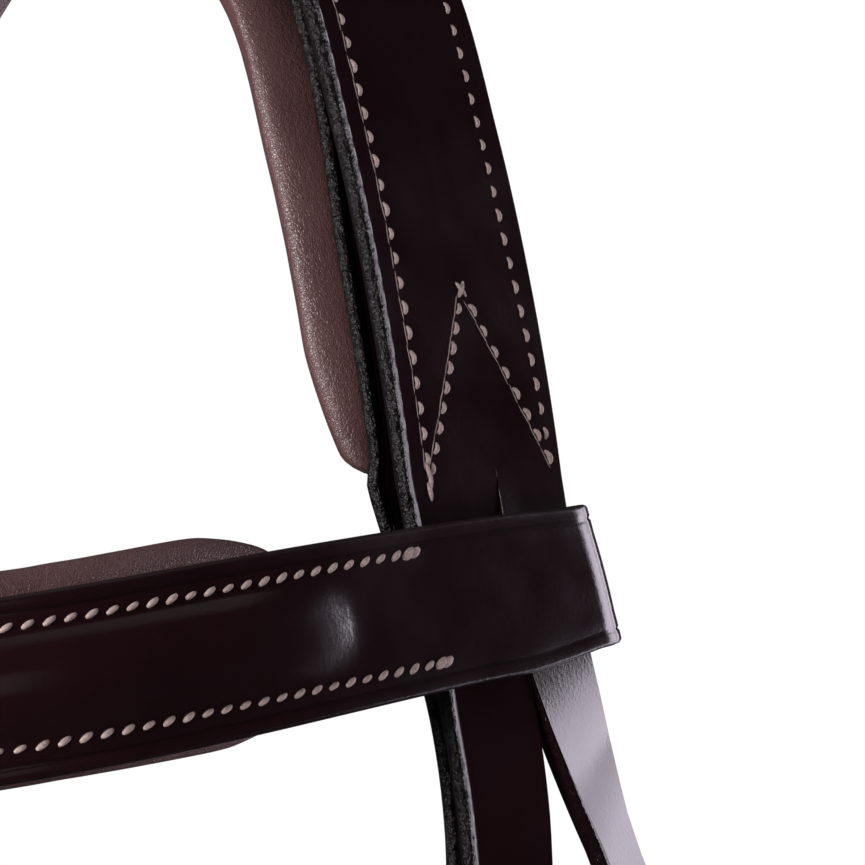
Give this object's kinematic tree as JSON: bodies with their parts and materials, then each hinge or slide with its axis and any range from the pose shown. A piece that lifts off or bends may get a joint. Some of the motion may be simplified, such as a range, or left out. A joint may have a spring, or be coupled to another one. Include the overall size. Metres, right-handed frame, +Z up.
{
  "type": "figure eight bridle",
  "caption": "Leather horse bridle with a padded crown, a padded browband, a throatlash and a figure eight noseband that crosses on a nose pad, for holding a bit by hooked cheekpieces.",
  "frame": {"origin": "on top of the horse's poll, under the middle of the crown pad", "axes": "+Z up along the face towards the poll, -Y out of the forehead, +X to the horse's near side"},
  "size_m": [0.2154, 0.2979, 0.5057],
  "materials": {
    "strap_leather": "smooth waxed havana leather with black edges",
    "band_leather": "raised havana leather, stitched",
    "lining_leather": "thin lining leather",
    "pad_leather": "soft nappa leather over foam",
    "ring_steel": "polished stainless steel",
    "buckle_steel": "polished stainless steel"
  },
  "bodies": {
    "straps": {"browband": "band_leather", "browband_pad": "pad_leather", "cheek_near_buckle": "buckle_steel", "cheek_near_fixed_keeper": "strap_leather", "cheek_off_buckle": "buckle_steel", "cheek_off_fixed_keeper": "strap_leather", "cheekpiece_near": "strap_leather", "cheekpiece_off": "strap_leather", "chin_buckle": "buckle_steel", "chin_fixed_keeper": "strap_leather", "cross_strap_near": "strap_leather", "cross_strap_off": "strap_leather", "headpiece": "strap_leather", "headpiece_lining": "lining_leather", "headpiece_pad": "pad_leather", "hook_stud_near": "ring_steel", "hook_stud_off": "ring_steel", "jaw_buckle": "buckle_steel", "jaw_fixed_keeper": "strap_leather", "jaw_strap_near": "strap_leather", "jaw_strap_off": "strap_leather", "nose_bridge": "band_leather", "nose_pad": "pad_leather", "sliphead": "strap_leather", "sliphead_buckle": "buckle_steel", "sliphead_cheek_near": "strap_leather", "sliphead_fixed_keeper": "strap_leather", "throat_near_buckle": "buckle_steel", "throat_near_fixed_keeper": "strap_leather", "throat_off_buckle": "buckle_steel", "throat_off_fixed_keeper": "strap_leather", "throatlash": "strap_leather"},
    "cheek_near_tongue": {"cheek_near_buckle_tongue": "buckle_steel"},
    "throat_near_tongue": {"throat_near_buckle_tongue": "buckle_steel"},
    "cheek_off_tongue": {"cheek_off_buckle_tongue": "buckle_steel"},
    "throat_off_tongue": {"throat_off_buckle_tongue": "buckle_steel"},
    "sliphead_tongue": {"sliphead_buckle_tongue": "buckle_steel"},
    "jaw_tongue": {"jaw_buckle_tongue": "buckle_steel"},
    "chin_tongue": {"chin_buckle_tongue": "buckle_steel"},
    "cheek_near_runner": {"cheek_near_runner": "strap_leather"},
    "throat_near_runner": {"throat_near_runner": "strap_leather"},
    "cheek_off_runner": {"cheek_off_runner": "strap_leather"},
    "throat_off_runner": {"throat_off_runner": "strap_leather"},
    "sliphead_runner": {"sliphead_runner": "strap_leather"},
    "jaw_runner": {"jaw_runner": "strap_leather"},
    "chin_runner": {"chin_runner": "strap_leather"},
    "ring_near": {"noseband_ring_near": "ring_steel"},
    "ring_off": {"noseband_ring_off": "ring_steel"}
  },
  "joints": [
    {"name": "cheek_near_tongue_hinge", "type": "hinge", "parent": "straps", "child": "cheek_near_tongue", "pos_m": [0.09846, -0.00502, -0.2163], "axis": [0.087, 0.9948, -0.0526], "range_deg": [0, 12]},
    {"name": "throat_near_tongue_hinge", "type": "hinge", "parent": "straps", "child": "throat_near_tongue", "pos_m": [0.09116, 0.06555, -0.21665], "axis": [-0.2886, 0.6483, 0.7046], "range_deg": [0, 12]},
    {"name": "cheek_off_tongue_hinge", "type": "hinge", "parent": "straps", "child": "cheek_off_tongue", "pos_m": [-0.09846, -0.00502, -0.2163], "axis": [0.087, -0.9948, 0.0526], "range_deg": [0, 12]},
    {"name": "throat_off_tongue_hinge", "type": "hinge", "parent": "straps", "child": "throat_off_tongue", "pos_m": [-0.09116, 0.06555, -0.21665], "axis": [-0.2886, -0.6483, -0.7046], "range_deg": [0, 12]},
    {"name": "sliphead_tongue_hinge", "type": "hinge", "parent": "straps", "child": "sliphead_tongue", "pos_m": [0.0921, 0.02134, -0.2336], "axis": [0.0025, 0.9939, 0.1099], "range_deg": [0, 12]},
    {"name": "jaw_tongue_hinge", "type": "hinge", "parent": "straps", "child": "jaw_tongue", "pos_m": [0.07943, 0.09593, -0.32252], "axis": [-0.071, -0.1317, -0.9887], "range_deg": [0, 12]},
    {"name": "chin_tongue_hinge", "type": "hinge", "parent": "straps", "child": "chin_tongue", "pos_m": [0.04751, -0.0166, -0.44333], "axis": [0.1584, -0.5912, -0.7908], "range_deg": [0, 12]},
    {"name": "cheek_near_runner_slide", "type": "slide", "parent": "straps", "child": "cheek_near_runner", "axis": [0.0333, 0.0498, 0.9982], "range_m": [-0.008, 0.009]},
    {"name": "throat_near_runner_slide", "type": "slide", "parent": "straps", "child": "throat_near_runner", "axis": [0.2216, -0.6707, 0.7079], "range_m": [-0.008, 0.009]},
    {"name": "cheek_off_runner_slide", "type": "slide", "parent": "straps", "child": "cheek_off_runner", "axis": [-0.0333, 0.0498, 0.9982], "range_m": [-0.008, 0.009]},
    {"name": "throat_off_runner_slide", "type": "slide", "parent": "straps", "child": "throat_off_runner", "axis": [-0.2216, -0.6707, 0.7079], "range_m": [-0.008, 0.009]},
    {"name": "sliphead_runner_slide", "type": "slide", "parent": "straps", "child": "sliphead_runner", "axis": [0.0707, -0.1098, 0.9914], "range_m": [-0.004, 0.004]},
    {"name": "jaw_runner_slide", "type": "slide", "parent": "straps", "child": "jaw_runner", "axis": [-0.1101, 0.9862, -0.1235], "range_m": [-0.004, 0.004]},
    {"name": "chin_runner_slide", "type": "slide", "parent": "straps", "child": "chin_runner", "axis": [-0.2034, 0.7642, -0.6121], "range_m": [-0.004, 0.004]},
    {"name": "ring_near_turn", "type": "hinge", "parent": "straps", "child": "ring_near", "pos_m": [0.086, 0.03, -0.3151], "axis": [0.9954, 0, -0.0958], "continuous": true},
    {"name": "ring_off_turn", "type": "hinge", "parent": "straps", "child": "ring_off", "pos_m": [-0.086, 0.03, -0.3151], "axis": [-0.9954, 0, -0.0958], "continuous": true}
  ]
}
